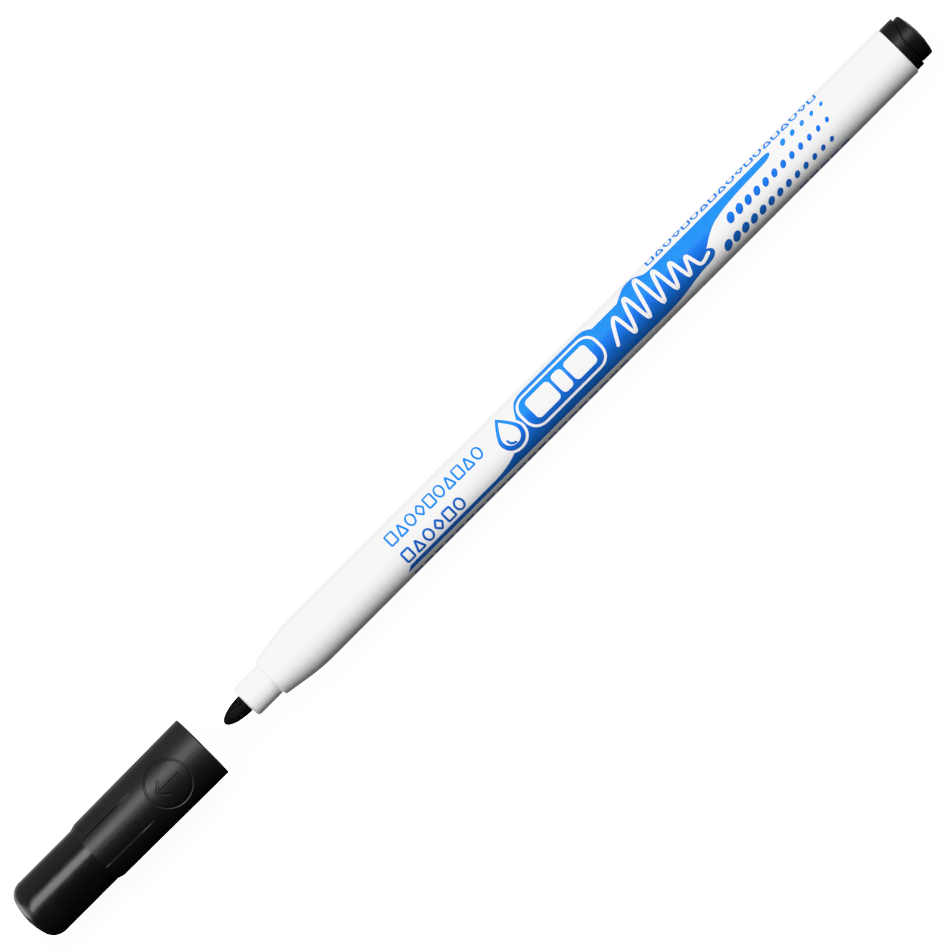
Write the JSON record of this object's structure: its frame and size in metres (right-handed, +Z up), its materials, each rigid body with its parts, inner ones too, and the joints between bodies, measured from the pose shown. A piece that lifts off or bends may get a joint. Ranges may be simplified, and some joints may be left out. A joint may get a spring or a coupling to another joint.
{
  "type": "whiteboard marker",
  "caption": "Slim round whiteboard marker with a bullet nib, a domed two-diameter cap pulled off in line with it, a fibre ink reservoir inside and a pressed-in end plug.",
  "frame": {"origin": "on the surface that the marker lies on, under the middle of the whole assembly with the cap pulled off", "axes": "+X along the marker from the cap and nib towards the end plug, +Z up"},
  "size_m": [0.1906, 0.0112, 0.0113],
  "materials": {
    "white_plastic": "satin",
    "black_plastic": "satin",
    "nib_fibre": "matte",
    "reservoir_fibre": "matte",
    "reservoir_film": "gloss",
    "seal_plastic": "satin",
    "blue_print": "satin ink",
    "white_print": "satin ink"
  },
  "bodies": {
    "barrel": {"barrel": "white_plastic", "nib": "nib_fibre", "reservoir_core": "reservoir_fibre", "reservoir_film": "reservoir_film", "end_plug": "black_plastic"},
    "cap": {"cap_shell": "black_plastic", "cap_inner_seal": "seal_plastic"}
  },
  "joints": [
    {"name": "cap_slide", "type": "slide", "parent": "barrel", "child": "cap", "axis": [1, 0, 0], "range_m": [0, 0.0394]}
  ]
}
